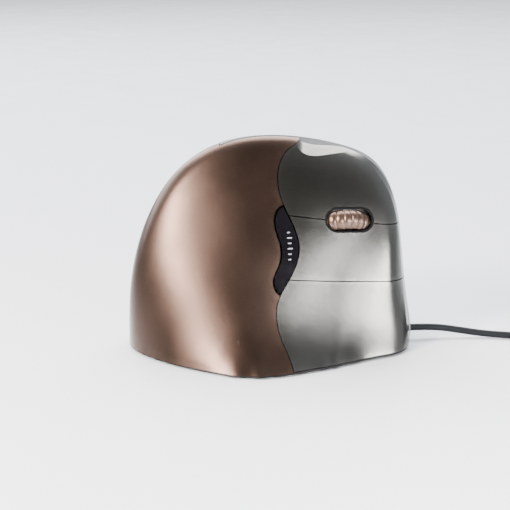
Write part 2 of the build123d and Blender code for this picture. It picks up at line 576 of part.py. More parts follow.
# ---- main buttons on their rod ----
def lug(z, wide, radius, bore):
    """A knuckle round the button rod, with its arm towards the finger face."""
    with BuildPart() as knuckle:
        with BuildSketch(rod_at(z)):
            Circle(radius)
            with Locations((0, -HINGE_DEPTH / 2)):
                Rectangle(2 * radius, HINGE_DEPTH)
            Circle(bore, mode=Mode.SUBTRACT)
        extrude(amount=wide / 2, both=True)
    return knuckle.part


def press_post(spot, depth, radius=POST_R, out=POST_OUT):
    """A round post along the face normal, from a depth outwards."""
    with BuildPart() as post:
        with BuildSketch(on_face(*spot, depth)):
            Circle(radius)
        extrude(amount=out)
    return post.part


PRESS_DEPTH = BOARD_DEPTH - SWITCH_TALL - PLUNGER_UP - PRESS_CLEAR
CAP_TRIM = skin(CAP_WALL - CAP_TRIM_IN)
CAP_REGION = ahead_of(S_SEAM, TRIM_GAP / 2) & finger_of_parting(0) & slab(SHELL_BOTTOM + CAP_LIFT, ABOVE)
WHEEL_SLOT = stadium(wheel_plane, SLOT_LONG + 2 * SLOT_GAP, SLOT_TALL + 2 * SLOT_GAP, CUT_DEEP)
with BuildPart() as wheel_room:
    with BuildSketch(wheel_hub_plane):
        Circle(WHEEL_R + WHEEL_ROOM_R)
    extrude(amount=WHEEL_WIDE / 2 + WHEEL_ROOM_SIDE, both=True)
BELOW_UPPER, BELOW_LOWER = below_seam(UPPER_SEAM), below_seam(LOWER_SEAM)
BUTTON_ZONES = {"upper": CAP_REGION - BELOW_UPPER, "middle": (CAP_REGION & BELOW_UPPER) - BELOW_LOWER,
                "lower": CAP_REGION & BELOW_LOWER}
BEVEL = bevel_wedge()
ROOM_UNDER_CAPS = wheel_room.part & skin(SLOT_LIP)


def main_button(side):
    """One of the three silver caps: a piece of the skin with a bevel, two lugs and a press post."""
    with BuildPart() as inside:
        for z in LUG_HEIGHTS[side]:
            add(lug(z, LUG_WIDE, LUG_R, HINGE_R + SHAFT_PLAY))
        add(press_post(BUTTON_SPOTS[side], PRESS_DEPTH))
        add(CAP_TRIM, mode=Mode.INTERSECT)
    with BuildPart() as cap:
        add(OUTER)
        add(BUTTON_ZONES[side], mode=Mode.INTERSECT)
        add(CAP_INNER, mode=Mode.SUBTRACT)
        add(BEVEL, mode=Mode.SUBTRACT)
        add(WHEEL_SLOT, mode=Mode.SUBTRACT)
        add(ROOM_UNDER_CAPS, mode=Mode.SUBTRACT)
        add(seam_band(UPPER_SEAM, TRIM_GAP), mode=Mode.SUBTRACT)
        add(seam_band(LOWER_SEAM, TRIM_GAP), mode=Mode.SUBTRACT)
        add(inside.part)
    return cap.part


for side in BUTTON_ZONES:
    finish(f"button_{side}", main_button(side))

with BuildPart() as button_hinge_rod:
    with BuildSketch(rod_at(ROD_LOW)):
        Circle(HINGE_R)
    extrude(amount=(ROD_HIGH - ROD_LOW) / FACE_UP.Z)
finish("button_hinge_rod", button_hinge_rod.part)

rocker_plane = on_face(ROCKER_X, ROCKER_Z)
rocker_axis = Plane(on_face(ROCKER_X, ROCKER_Z, ROCKER_PIN_DEPTH).origin, x_dir=FACE_UP, z_dir=FACE_AHEAD)
carrier_axis = Plane(wheel_hub_plane.origin + FACE_AHEAD * CARRIER_PIN_AHEAD,
                     x_dir=FACE_AHEAD, z_dir=FACE_UP)
EAR_UP = WHEEL_WIDE / 2 + 2 * ARM_GAP + ARM_THICK


def ears(plane, near, thick, radius, reach, bore):
    """Two plates either side of a plane, with a bore along its normal, rising out by reach."""
    rise = reach / 2 * (1 if plane.y_dir.dot(FACE_NORMAL) > 0 else -1)
    with BuildPart() as pair:
        for side in (-1, 1):
            with BuildSketch(plane.offset(side * (near + thick / 2))):
                Circle(radius)
                with Locations((0, rise)):
                    Rectangle(2 * radius, reach)
                Circle(bore, mode=Mode.SUBTRACT)
            extrude(amount=thick / 2, both=True)
    return pair.part


with BuildPart() as chassis_windows:
    for heights in LUG_HEIGHTS.values():
        for z in heights:
            with BuildSketch(rod_at(z)):
                with Locations((0, -LUG_WINDOW_IN)):
                    Rectangle(2 * (LUG_R + LUG_ROOM), LUG_WINDOW_DEEP)
            extrude(amount=LUG_WIDE / 2 + LUG_SIDE_ROOM, both=True)
    for spot in BUTTON_SPOTS.values():
        with BuildSketch(on_face(*spot)):
            Rectangle(SWITCH_LONG + WINDOW_ROOM, SWITCH_WIDE + WINDOW_ROOM)
        extrude(amount=WINDOW_DEEP, both=True)
    with BuildSketch(on_face(*WHEEL_SWITCH_SPOT)):
        Rectangle(SWITCH_LONG + WINDOW_ROOM, SWITCH_WIDE + WHEEL_SWITCH_ROOM)
    extrude(amount=WINDOW_DEEP, both=True)
    with BuildSketch(wheel_plane):
        with Locations((WHEEL_WINDOW_AHEAD, 0)):
            Rectangle(*WHEEL_WINDOW)
        with Locations(TAB_WINDOW_SPOT):
            Rectangle(*TAB_WINDOW)
    extrude(amount=CUT_DEEP, both=True)
    with BuildSketch(rocker_plane):
        Rectangle(*ROCKER_WINDOW)
    extrude(amount=CUT_DEEP, both=True)

with BuildPart() as chassis_blocks:
    for z in BEARING_HEIGHTS:
        add(lug(z, BEARING_WIDE, LUG_R, HINGE_R))
    add(ears(rocker_axis, ROCKER_EAR_NEAR, EAR_THICK, ROCKER_EAR_R, ROCKER_EAR_REACH, ROCKER_PIN_R))
    add(ears(carrier_axis, EAR_UP, EAR_THICK, CARRIER_EAR_R, CARRIER_EAR_REACH, CARRIER_PIN_R))
    for along in (-1, 1):
        with BuildSketch(on_face(ROCKER_X, ROCKER_Z, SPEED_BOARD_DEPTH)):
            with Locations((0, along * SPEED_REST_APART)):
                Rectangle(*SPEED_REST_SIZE)
        extrude(amount=SHORT_POST_OUT)
    for radius, spots in STANDOFFS.items():
        for spot in spots:
            add(press_post(spot, BOARD_DEPTH, radius))
    add(CHASSIS_OUTER, mode=Mode.INTERSECT)

with BuildPart() as button_chassis:
    add(CHASSIS_OUTER)
    add(ahead_of(S_SEAM, -CHASSIS_BEHIND) & slab(CHASSIS_FOOT, ABOVE), mode=Mode.INTERSECT)
    add(finger_of_parting(-CHASSIS_IN), mode=Mode.INTERSECT)
    add(CHASSIS_INNER, mode=Mode.SUBTRACT)
    add(chassis_windows.part, mode=Mode.SUBTRACT)
    add(chassis_blocks.part)
    add(posts(BOSSES["chassis"], PLATE_TOP, FAR, BOSS_R, skin(CHASSIS_TOP + BOSS_INTO)))
    add(screw_holes(BOSSES["chassis"]), mode=Mode.SUBTRACT)
    for plane, radius, reach in ((rod_at((ROD_LOW + ROD_HIGH) / 2), HINGE_R, ROD_HIGH - ROD_LOW),
                                 (rocker_axis, ROCKER_PIN_R, ROCKER_EAR_NEAR + 2 * EAR_THICK),
                                 (carrier_axis, CARRIER_PIN_R, EAR_UP + 2 * EAR_THICK)):
        with BuildSketch(plane):
            Circle(radius)
        extrude(amount=reach, both=True, mode=Mode.SUBTRACT)
finish("button_chassis", button_chassis.part)


# ---- main switches and their boards ----
for side, spot in BUTTON_SPOTS.items():
    micro_switch(f"button_{side}", spot)
micro_switch("wheel", WHEEL_SWITCH_SPOT)


def face_board(name, middle, size, corner):
    """A circuit board parallel to the finger face, under its switches."""
    with BuildPart() as board:
        with BuildSketch(on_face(*middle, BOARD_DEPTH)) as outline:
            Rectangle(*size)
            fillet(outline.vertices(), corner)
        extrude(amount=-BOARD_THICK)
    finish(name, board.part)


face_board("finger_board", FINGER_BOARD, FINGER_BOARD_SIZE, FINGER_BOARD_ROUND)
face_board("upper_board", UPPER_BOARD, UPPER_BOARD_SIZE, UPPER_BOARD_ROUND)


# ---- speed rocker ----
SPEED_TOP_DEPTH = SPEED_BOARD_DEPTH - SPEED_TACT_TALL - SPEED_TACT_UP

with BuildPart() as rocker_inside:
    with BuildSketch(rocker_axis):
        Circle(ROCKER_LUG_R)
        with Locations((0, ROCKER_LUG_LONG / 2)):
            Rectangle(2 * ROCKER_LUG_R, ROCKER_LUG_LONG)
        Circle(ROCKER_PIN_R + SHAFT_PLAY, mode=Mode.SUBTRACT)
    extrude(amount=ROCKER_LUG_R, both=True)
    for along in (-1, 1):
        with BuildSketch(on_face(ROCKER_X, ROCKER_Z, SPEED_TOP_DEPTH - ROCKER_NUB_CLEAR)):
            with Locations((0, along * ROCKER_ARM)):
                Circle(ROCKER_NUB_R)
        extrude(amount=SHORT_POST_OUT)
    add(skin(ROCKER_IN - ROCKER_TRIM_IN), mode=Mode.INTERSECT)

with BuildPart() as speed_rocker:
    add(skin(ROCKER_PROUD))
    add(strip_region(0), mode=Mode.INTERSECT)
    add(skin(ROCKER_IN), mode=Mode.SUBTRACT)
    add(ahead_of(S_SEAM, -ROCKER_GAP), mode=Mode.SUBTRACT)
    add(rocker_inside.part)
finish("speed_rocker", speed_rocker.part)

with BuildPart() as speed_rocker_pin:
    with BuildSketch(rocker_axis):
        Circle(ROCKER_PIN_R)
    extrude(amount=ROCKER_PIN_HALF, both=True)
finish("speed_rocker_pin", speed_rocker_pin.part)

with BuildPart() as speed_board:
    with BuildSketch(on_face(ROCKER_X, ROCKER_Z, SPEED_BOARD_DEPTH)):
        Rectangle(*SPEED_BOARD_SIZE)
    extrude(amount=-SPEED_BOARD_THICK)
finish("speed_board", speed_board.part)

for name, along in (("plus", 1), ("minus", -1)):
    base = on_face(ROCKER_X, ROCKER_Z, SPEED_BOARD_DEPTH)
    spot = Plane(base.origin + FACE_UP * along * ROCKER_ARM, x_dir=FACE_AHEAD, z_dir=FACE_NORMAL)
    tact_switch(f"speed_{name}", spot, SPEED_TACT_SIDE, SPEED_TACT_TALL, SPEED_TACT_UP, SPEED_TACT_R)


# ---- scroll wheel ----
ARM_FROM = WHEEL_WIDE / 2 + ARM_GAP

with BuildPart() as wheel_tyre:
    with BuildSketch(wheel_hub_plane):
        Circle(WHEEL_R)
        Circle(WHEEL_R - TYRE_THICK, mode=Mode.SUBTRACT)
    extrude(amount=WHEEL_WIDE / 2, both=True)
    chamfer(wheel_tyre.edges().filter_by(GeomType.CIRCLE).group_by(SortBy.RADIUS)[-1], TYRE_CHAMFER)
    with BuildSketch(wheel_hub_plane):
        with PolarLocations(WHEEL_R, TYRE_RIBS):
            Circle(TYRE_GROOVE_R)
    extrude(amount=WHEEL_WIDE, both=True, mode=Mode.SUBTRACT)
finish("wheel_tyre", wheel_tyre.part)

with BuildPart() as wheel_hub:
    with BuildSketch(wheel_hub_plane):
        Circle(WHEEL_R - TYRE_THICK)
        with PolarLocations(HUB_HOLE_RING, HUB_HOLES):
            Circle(HUB_HOLE_R, mode=Mode.SUBTRACT)
    extrude(amount=WHEEL_WIDE / 2 - HUB_INSET, both=True)
    with BuildSketch(wheel_hub_plane.offset(-ARM_FROM - ARM_THICK)):
        Circle(AXLE_R)
    extrude(amount=2 * (ARM_FROM + ARM_THICK) + AXLE_PAST)
finish("wheel_hub", wheel_hub.part)

with BuildPart() as wheel_carrier:
    for side in (-1, 1):
        with BuildSketch(wheel_hub_plane.offset(side * (ARM_FROM + ARM_THICK / 2))):
            with Locations((ARM_AHEAD, 0)):
                SlotOverall(ARM_LONG, ARM_TALL)
            Circle(AXLE_R + SHAFT_PLAY, mode=Mode.SUBTRACT)
            with Locations((CARRIER_PIN_AHEAD, 0)):
                Circle(CARRIER_PIN_R + SHAFT_PLAY, mode=Mode.SUBTRACT)
        extrude(amount=ARM_THICK / 2, both=True)
    with BuildSketch(wheel_hub_plane.offset(-ARM_FROM)):
        with Locations((BRIDGE_AHEAD, BRIDGE_TALL / 2)):
            Rectangle(BRIDGE_THICK, BRIDGE_TALL)
    extrude(amount=2 * ARM_FROM)
    with BuildSketch(wheel_hub_plane.offset(-ARM_FROM - ARM_THICK)):
        with Locations((-TAB_BACK, -TAB_IN)):
            Rectangle(TAB_LONG, TAB_THICK)
    extrude(amount=-TAB_REACH)
finish("wheel_carrier", wheel_carrier.part)

with BuildPart() as wheel_carrier_pin:
    with BuildSketch(carrier_axis):
        Circle(CARRIER_PIN_R)
    extrude(amount=EAR_UP + CARRIER_PIN_PAST, both=True)
finish("wheel_carrier_pin", wheel_carrier_pin.part)

with BuildPart() as wheel_encoder:
    with BuildSketch(wheel_hub_plane.offset(ARM_FROM + ARM_THICK)):
        with Locations((0, ENCODER_OUT)):
            Rectangle(ENCODER_LONG, ENCODER_TALL)
        Circle(AXLE_R + SHAFT_PLAY, mode=Mode.SUBTRACT)
    extrude(amount=ENCODER_THICK)
finish("wheel_encoder", wheel_encoder.part)

with BuildPart() as wheel_bezel:
    add(skin(BEZEL_IN))
    add(stadium(wheel_plane, SLOT_LONG, SLOT_TALL, CUT_DEEP), mode=Mode.INTERSECT)
    add(stadium(wheel_plane, SLOT_LONG - 2 * SLOT_RIM, SLOT_TALL - 2 * SLOT_RIM, FAR), mode=Mode.SUBTRACT)
    add(CHASSIS_OUTER, mode=Mode.SUBTRACT)
    add(wheel_room.part, mode=Mode.SUBTRACT)
finish("wheel_bezel", wheel_bezel.part)


# ---- base, feet and fasteners ----
ALL_BOSSES = [spot for group in BOSSES.values() for spot in group]

with BuildPart() as base_plate:
    add(skin(PLATE_INSET) & slab(FOOT_THICK, SHELL_BOTTOM))
    add(skin(RIM_OUT) & slab(SHELL_BOTTOM, RIM_TOP))
    add(skin(RIM_IN) & slab(PLATE_TOP, RIM_TOP + 1), mode=Mode.SUBTRACT)
    add(posts(BOARD_POSTS, SHELL_BOTTOM, MAIN_BOARD_Z, BOARD_POST_R, OUTER))
    with BuildSketch(Plane.XY):
        with Locations(*ALL_BOSSES):
            Circle(SCREW_R + SCREW_PLAY)
    extrude(amount=PLATE_TOP + 1, mode=Mode.SUBTRACT)
    with BuildSketch(Plane.XY):
        with Locations(*ALL_BOSSES):
            Circle(HEAD_R + HEAD_PLAY)
    extrude(amount=FOOT_THICK + HEAD_TALL - HEAD_SUNK, mode=Mode.SUBTRACT)
    with BuildSketch(Plane.XY.offset(PLATE_TOP)):
        with Locations(*ALL_BOSSES):
            Circle(BOSS_R + BOSS_PLAY)
    extrude(amount=RIM_TOP, mode=Mode.SUBTRACT)
    with BuildSketch(Plane.XY):
        with Locations((SENSOR_X, SENSOR_Y)):
            RectangleRounded(*SENSOR_WINDOW)
    extrude(amount=RIM_TOP, mode=Mode.SUBTRACT)
    with Locations((GLAND_NOTCH_AT[0], EXIT[1], EXIT[2] + GLAND_NOTCH_AT[1])):
        Box(*GLAND_NOTCH, mode=Mode.SUBTRACT)
finish("base_plate", base_plate.part)

with BuildPart() as glide_feet:
    with BuildSketch(Plane.XY):
        for x, y, long, wide in FEET:
            with Locations((x, y)):
                RectangleRounded(long, wide, min(long, wide) / 2 - 0.2)
    extrude(amount=FOOT_THICK)
finish("glide_feet", glide_feet.part)

with BuildPart() as case_screws:
    with BuildSketch(Plane.XY.offset(FOOT_THICK + HEAD_SUNK)):
        with Locations(*ALL_BOSSES):
            Circle(HEAD_R)
    extrude(amount=HEAD_TALL - 2 * HEAD_SUNK)
    with BuildSketch(Plane.XY.offset(FOOT_THICK + HEAD_TALL - HEAD_SUNK)):
        with Locations(*ALL_BOSSES):
            Circle(SCREW_R)
    extrude(amount=SCREW_LONG)
    with BuildSketch(Plane.XY):
        with Locations(*ALL_BOSSES):
            Rectangle(CROSS_LONG, CROSS_WIDE)
            Rectangle(CROSS_WIDE, CROSS_LONG)
    extrude(amount=FOOT_THICK + CROSS_DEEP, mode=Mode.SUBTRACT)
finish("case_screws", case_screws.part)


# ---- main board with the sensor ----
(BOARD_LOW_X, BOARD_HIGH_X), (BOARD_LOW_Y, BOARD_HIGH_Y) = MAIN_BOARD_SPAN
BOARD_MID = ((BOARD_LOW_X + BOARD_HIGH_X) / 2, (BOARD_LOW_Y + BOARD_HIGH_Y) / 2)
BOARD_TOP = MAIN_BOARD_Z + MAIN_BOARD_THICK

with BuildPart() as main_board:
    with BuildSketch(Plane.XY.offset(MAIN_BOARD_Z)):
        with Locations(BOARD_MID):
            RectangleRounded(BOARD_HIGH_X - BOARD_LOW_X, BOARD_HIGH_Y - BOARD_LOW_Y, MAIN_BOARD_ROUND)
        with Locations(*BOARD_POSTS):
            Circle(BOARD_HOLE_R, mode=Mode.SUBTRACT)
        with Locations((SENSOR_X, SENSOR_Y)):
            RectangleRounded(*SENSOR_HOLE, mode=Mode.SUBTRACT)
    extrude(amount=MAIN_BOARD_THICK)
finish("main_board", main_board.part)

with BuildPart() as board_screws:
    with BuildSketch(Plane.XY.offset(BOARD_TOP)):
        with Locations(*BOARD_POSTS):
            Circle(BOARD_HEAD_R)
    extrude(amount=BOARD_HEAD_TALL)
    with BuildSketch(Plane.XY.offset(BOARD_TOP)):
        with Locations(*BOARD_POSTS):
            Circle(BOARD_SCREW_R)
    extrude(amount=-BOARD_SCREW_DOWN)
finish("board_screws", board_screws.part)

with BuildPart() as optical_sensor:
    with BuildSketch(Plane.XY.offset(BOARD_TOP)):
        with Locations((SENSOR_X, SENSOR_Y)):
            Rectangle(SENSOR_LONG, SENSOR_WIDE)
    extrude(amount=SENSOR_TALL)
    chamfer(optical_sensor.faces().sort_by(Axis.Z)[-1].edges(), SENSOR_EDGE)
finish("optical_sensor", optical_sensor.part)

with BuildPart() as sensor_lens:
    with BuildSketch(Plane.XY.offset(PLATE_TOP)):
        with Locations((SENSOR_X, SENSOR_Y)):
            RectangleRounded(*LENS_FLANGE)
    extrude(amount=LENS_FLANGE_THICK)
    with BuildSketch(Plane.XY.offset(PLATE_TOP)):
        with Locations((SENSOR_X, SENSOR_Y)):
            RectangleRounded(*LENS_NECK)
    extrude(amount=MAIN_BOARD_Z + LENS_RISE - PLATE_TOP)
    with BuildSketch(Plane.XY.offset(PLATE_TOP)):
        with Locations((SENSOR_X, SENSOR_Y)):
            Circle(LENS_R)
    extrude(amount=-LENS_DROP)
finish("sensor_lens", sensor_lens.part)

with BuildPart() as sensor_led:
    with BuildSketch(Plane.YZ.offset(SENSOR_X + LED_AHEAD)):
        with Locations((SENSOR_Y, BOARD_TOP + LED_UP)):
            Circle(LED_R)
    extrude(amount=LED_LONG)
    with BuildSketch(Plane.YZ.offset(SENSOR_X + LED_AHEAD + LED_LONG)):
        with Locations((SENSOR_Y, BOARD_TOP + LED_UP)):
            Rectangle(LED_BASE, LED_BASE)
    extrude(amount=LED_BASE_THICK)
finish("sensor_led", sensor_led.part)

with BuildPart() as cable_connector:
    with Locations((*CONNECTOR_SPOT, BOARD_TOP + CONNECTOR_SIZE[2] / 2)):
        Box(*CONNECTOR_SIZE)
finish("cable_connector", cable_connector.part)


# ---- cord ----
def corner_radii(route):
    """The largest arc for each corner: 0.45 of the shorter run over the tangent of half the turn."""
    radii = []
    for a, b, c in zip(route, route[1:], route[2:]):
        first, second = Vector(*b) - Vector(*a), Vector(*c) - Vector(*b)
        half = math.radians(first.get_angle(second)) / 2
        radii.append(0.45 * min(first.length, second.length) / math.tan(half))
    return radii


def cord_tube(name, route, radius):
    """A stretch of cord as straight runs joined by arcs; prints its length, volume and radii."""
    radii = corner_radii(route)
    with BuildPart() as tube:
        with BuildLine() as path:
            FilletPolyline(*route, radius=radii)
        with BuildSketch(Plane(path.wire() @ 0, z_dir=path.wire() % 0)):
            Circle(radius)
        sweep()
    length = path.wire().length
    expected = math.pi * radius ** 2 * length
    print(f"{name}: {length:.1f} mm, volume {tube.part.volume:.1f} of {expected:.1f},",
          "radii", [round(r, 1) for r in radii])
    finish(name, tube.part)


cord_tube("inner_cord", INNER_ROUTE, INNER_CORD_R)
cord_tube("cord_run", RUN_ROUTE, CORD_R)
cord_tube("cord_tail", TAIL_ROUTE, CORD_R)

with BuildPart() as strain_relief:
    with BuildSketch(Plane((0, EXIT[1], EXIT[2]), x_dir=(1, 0, 0), z_dir=(0, -1, 0))):
        with BuildLine():
            Polyline((RELIEF_BACK, 0), (RELIEF_BACK, RELIEF_R), (RELIEF_TAPER, RELIEF_R),
                     (EXIT[0], RELIEF_TIP_R), (EXIT[0], 0), close=True)
        make_face()
    revolve(axis=Axis((0, EXIT[1], EXIT[2]), (1, 0, 0)))
finish("strain_relief", strain_relief.part)

tie_plane = Plane((COIL_X, COIL_Y + COIL_R, TIE_THICK + COIL_SIDE / 2), x_dir=(0, 1, 0), z_dir=(1, 0, 0))
TIE_HOLE = COIL_SIDE + TIE_ROOM

with BuildPart() as coil_tie:
    with BuildSketch(tie_plane):
        RectangleRounded(TIE_HOLE + 2 * TIE_THICK, COIL_SIDE + 2 * TIE_THICK, COIL_ROUND + TIE_THICK)
        RectangleRounded(TIE_HOLE, COIL_SIDE, COIL_ROUND, mode=Mode.SUBTRACT)
    extrude(amount=TIE_WIDE / 2, both=True)
finish("coil_tie", coil_tie.part)

with BuildPart() as cord_coil:
    with BuildSketch(Plane((COIL_X, COIL_Y, COIL_SIDE / 2), x_dir=(1, 0, 0), z_dir=(0, -1, 0))):
        with Locations((COIL_R, 0)):
            RectangleRounded(COIL_SIDE, COIL_SIDE, COIL_ROUND)
    revolve(axis=Axis((COIL_X, COIL_Y, 0), (0, 0, 1)))
    with BuildSketch(tie_plane):
        Rectangle(2 * COIL_SIDE, 2 * COIL_SIDE)
        RectangleRounded(TIE_HOLE, COIL_SIDE, COIL_ROUND, mode=Mode.SUBTRACT)
    extrude(amount=TIE_WIDE / 2 + TIE_PLAY, both=True, mode=Mode.SUBTRACT)
finish("cord_coil", cord_coil.part)

PLUG_X, PLUG_Y, PLUG_Z = TAIL_ROUTE[-1]
plug_plane = Plane((PLUG_X, PLUG_Y, PLUG_Z), x_dir=(1, 0, 0), z_dir=(0, -1, 0))
with BuildPart() as plug_body:
    with BuildSketch(plug_plane):
        Circle(NECK_R)
    with BuildSketch(plug_plane.offset(NECK_LONG)):
        Circle(NECK_BASE_R)
    loft()
    with BuildSketch(plug_plane.offset(NECK_LONG)):
        RectangleRounded(PLUG_WIDE, PLUG_HIGH, PLUG_ROUND)
    extrude(amount=PLUG_LONG)
finish("plug_body", plug_body.part)

with BuildPart() as plug_shell:
    with BuildSketch(plug_plane.offset(NECK_LONG + PLUG_LONG)):
        Rectangle(USB_WIDE, USB_HIGH)
        Rectangle(USB_WIDE - 2 * USB_WALL, USB_HIGH - 2 * USB_WALL, mode=Mode.SUBTRACT)
    extrude(amount=USB_LONG)
finish("plug_shell", plug_shell.part)

with BuildPart() as plug_tongue:
    with BuildSketch(plug_plane.offset(NECK_LONG + PLUG_LONG)):
        with Locations((0, (USB_HIGH - TONGUE_THICK) / 2 - USB_WALL)):
            Rectangle(USB_WIDE - 2 * USB_WALL, TONGUE_THICK)
    extrude(amount=USB_LONG - TONGUE_SHORT)
finish("plug_tongue", plug_tongue.part)


# ---- flat cables between the boards ----
FINGER_RIBBON = [(-9, BOARD_TOP + RIBBON_LIFT), (-6, BOARD_TOP + 3.5), (-7.4, 14)]
THUMB_RIBBON = [(THUMB_BOARD_Y + 2, 47), (12, 36), (15, 22), (13, BOARD_TOP + RIBBON_LIFT)]


def ribbon(name, line, low_x):
    """A flat cable that bends along a line in the YZ plane."""
    with BuildPart() as strip:
        with BuildSketch(Plane.YZ.offset(low_x)):
            with BuildLine():
                Polyline(*line)
            trace(line_width=RIBBON_THICK)
        extrude(amount=RIBBON_WIDE)
    finish(name, strip.part)


ribbon("finger_ribbon", FINGER_RIBBON, FINGER_RIBBON_X)
ribbon("thumb_ribbon", THUMB_RIBBON, THUMB_RIBBON_X)
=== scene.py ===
import bpy
import json
import math
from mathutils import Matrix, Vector


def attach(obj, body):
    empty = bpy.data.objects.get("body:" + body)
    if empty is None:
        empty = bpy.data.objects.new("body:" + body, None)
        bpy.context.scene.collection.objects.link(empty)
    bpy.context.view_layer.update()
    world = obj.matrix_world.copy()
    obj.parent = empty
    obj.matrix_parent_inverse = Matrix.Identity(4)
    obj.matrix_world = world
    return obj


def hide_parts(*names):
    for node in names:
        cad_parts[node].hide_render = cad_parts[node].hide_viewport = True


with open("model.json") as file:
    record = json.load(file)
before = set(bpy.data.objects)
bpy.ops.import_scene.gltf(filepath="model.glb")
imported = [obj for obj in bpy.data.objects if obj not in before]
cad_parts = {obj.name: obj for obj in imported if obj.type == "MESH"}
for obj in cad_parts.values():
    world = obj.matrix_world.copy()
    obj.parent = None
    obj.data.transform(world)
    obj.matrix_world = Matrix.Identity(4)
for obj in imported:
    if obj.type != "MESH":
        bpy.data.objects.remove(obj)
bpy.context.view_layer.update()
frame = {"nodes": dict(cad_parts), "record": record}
MM = 0.001

# ---- camera: at the finger side, a little behind the middle and above the table ----
CAMERA_TURN, CAMERA_RISE, CAMERA_AWAY = -8.0, 16.0, 488.2
CAMERA_AIM = (-6.14, 0.0, 33.92)
CAMERA_LENS = 91.8

# ---- cord, in millimetres ----
CORD_LENGTH, CORD_WIDE = 1.5, 2.6
EXIT = (53.0, -6.0, 4.5)
RUN_ROUTE = [EXIT, (62, -6, 4.4), (71, -6.7, 3.0), (81, -8.8, 1.6), (91.6, -11.8, 1.35),
             (103, -15.8, 1.35), (113.9, -19.9, 1.35)]
TAIL_ROUTE = [(135.8, 0.7, 9.3), (137.9, 9.0, 8.6), (138.8, 17.6, 5.0), (141.8, 25.6, 1.9),
              (149.4, 30.2, 1.35), (158.4, 29.4, 1.35), (164.8, 23.2, 2.0), (166.5, 14.6, 4.2)]
COIL_X, COIL_Y, COIL_R, COIL_LANES, LANE_STEP = 119.0, -1.0, 15.6, 4, 2.65
COIL_START, COIL_FULL_TURNS, COIL_END = -105.0, 14, 5.7
STEPS_PER_TURN, CROSSING = 18, 0.14

TIE_LIFT, TIE_ANGLE, TIE_SPREAD = 0.6, 90.0, 40.0

# ---- bars on the speed rocker, in millimetres: x, z and half width, from the top down ----
ROCKER_MARKS = [(4.1, 46.2, 0.5), (4.3, 44.4, 0.9), (4.2, 42.6, 0.6),
                (4.3, 40.8, 0.9), (4.1, 39.0, 0.6), (3.9, 37.2, 0.5)]
MARK_HALF = 0.2

# ---- scroll wheel and its slot, in millimetres ----
OUT_OF_FACE = (0.216, -1, 0.49)
WHEEL_R, WHEEL_HALF, WHEEL_CORE_R, WHEEL_DEPTH = 11.25, 3.45, 8.9, 8.2
CROWN, CROWN_POWER, CORE_COVER = 1.95, 2.6, 0.05
RIBS, STEPS_PER_RIB, RIB_DEEP, RIB_POWER = 22, 16, 0.7, 0.4
HALF_TREAD = [0, 0.25, 0.5, 0.75, 0.9, 0.97, 1]
SLOT_HALF_LONG, SLOT_HALF_TALL = 9.3, 4.7
RIM_WIDE, RIM_DEEP, RIM_PROUD, RIM_BEVEL, RIM_STEPS = 0.75, 0.4, 0.03, 0.12, 96
PROBE_BESIDE, PROBE_ABOVE = 0.5, 10


def smooth(t):
    """Eases from 0 to 1, and stays there outside."""
    t = min(max(t, 0.0), 1.0)
    return t * t * (3 - 2 * t)


# ---- camera ----
def make_camera():
    turn, rise = math.radians(CAMERA_TURN), math.radians(CAMERA_RISE)
    back = Vector((math.sin(turn) * math.cos(rise), -math.cos(turn) * math.cos(rise), math.sin(rise)))
    data = bpy.data.cameras.new("camera")
    data.lens = CAMERA_LENS
    data.sensor_width = 36.0
    data.clip_start, data.clip_end = 0.01, 20.0
    camera = bpy.data.objects.new("camera", data)
    camera.location = (Vector(CAMERA_AIM) + back * CAMERA_AWAY) * MM
    camera.rotation_mode = "QUATERNION"
    camera.rotation_quaternion = (-back).to_track_quat("-Z", "Y")
    bpy.context.collection.objects.link(camera)
    bpy.context.scene.camera = camera


make_camera()


# ---- node helpers ----
def new_material(name):
    """A node material, its tree and its principled shader."""
    material = bpy.data.materials.new(name)
    material.use_nodes = True
    return material, material.node_tree, material.node_tree.nodes["Principled BSDF"]


def node(tree, kind, inputs=(), **settings):
    """Adds a node. Inputs are values or the sockets that feed them."""
    made = tree.nodes.new(kind)
    for key, value in settings.items():
        setattr(made, key, value)
    for key, value in dict(inputs).items():
        plug(tree, made.inputs[key], value)
    return made


def plug(tree, socket, value):
    """Links a socket to an input, or sets the input to a value."""
    if isinstance(value, bpy.types.NodeSocket):
        tree.links.new(value, socket)
    else:
        socket.default_value = value


def rgb(colour):
    """An opaque colour with its fourth channel."""
    return (*colour, 1.0)


def noise(tree, scale, detail=2.0, roughness=0.5):
    """A noise pattern with about scale features to the metre."""
    place = node(tree, "ShaderNodeTexCoord").outputs["Object"]
    made = node(tree, "ShaderNodeTexNoise", {"Vector": place, "Scale": scale, "Detail": detail,
                                              "Roughness": roughness})
    return made.outputs["Fac"]


def span(tree, value, low, high, start=0.0, end=1.0):
    """Maps a value from low..high to start..end."""
    made = node(tree, "ShaderNodeMapRange", {"Value": value, "From Min": low, "From Max": high,
                                              "To Min": start, "To Max": end})
    return made.outputs["Result"]


NOISE_LOW, NOISE_HIGH = 0.3, 0.7


def uneven(tree, scale, detail, middle, spread):
    """A value that drifts about middle, by about as much as spread."""
    pattern = noise(tree, scale, detail)
    return span(tree, pattern, NOISE_LOW, NOISE_HIGH, middle - spread, middle + spread)


def calculate(tree, operation, *values):
    """The result of a Math node."""
    return node(tree, "ShaderNodeMath", dict(enumerate(values)), operation=operation).outputs[0]


def axes(tree, coordinate):
    """The X, Y and Z of a texture coordinate."""
    place = node(tree, "ShaderNodeTexCoord").outputs[coordinate]
    return node(tree, "ShaderNodeSeparateXYZ", {"Vector": place}).outputs


def mix(tree, share, first, second):
    """A colour, from first to second as share goes from 0 to 1."""
    made = node(tree, "ShaderNodeMix", data_type="RGBA")
    plug(tree, made.inputs["Factor"], share)
    plug(tree, made.inputs["A"], first)
    plug(tree, made.inputs["B"], second)
    return made.outputs["Result"]


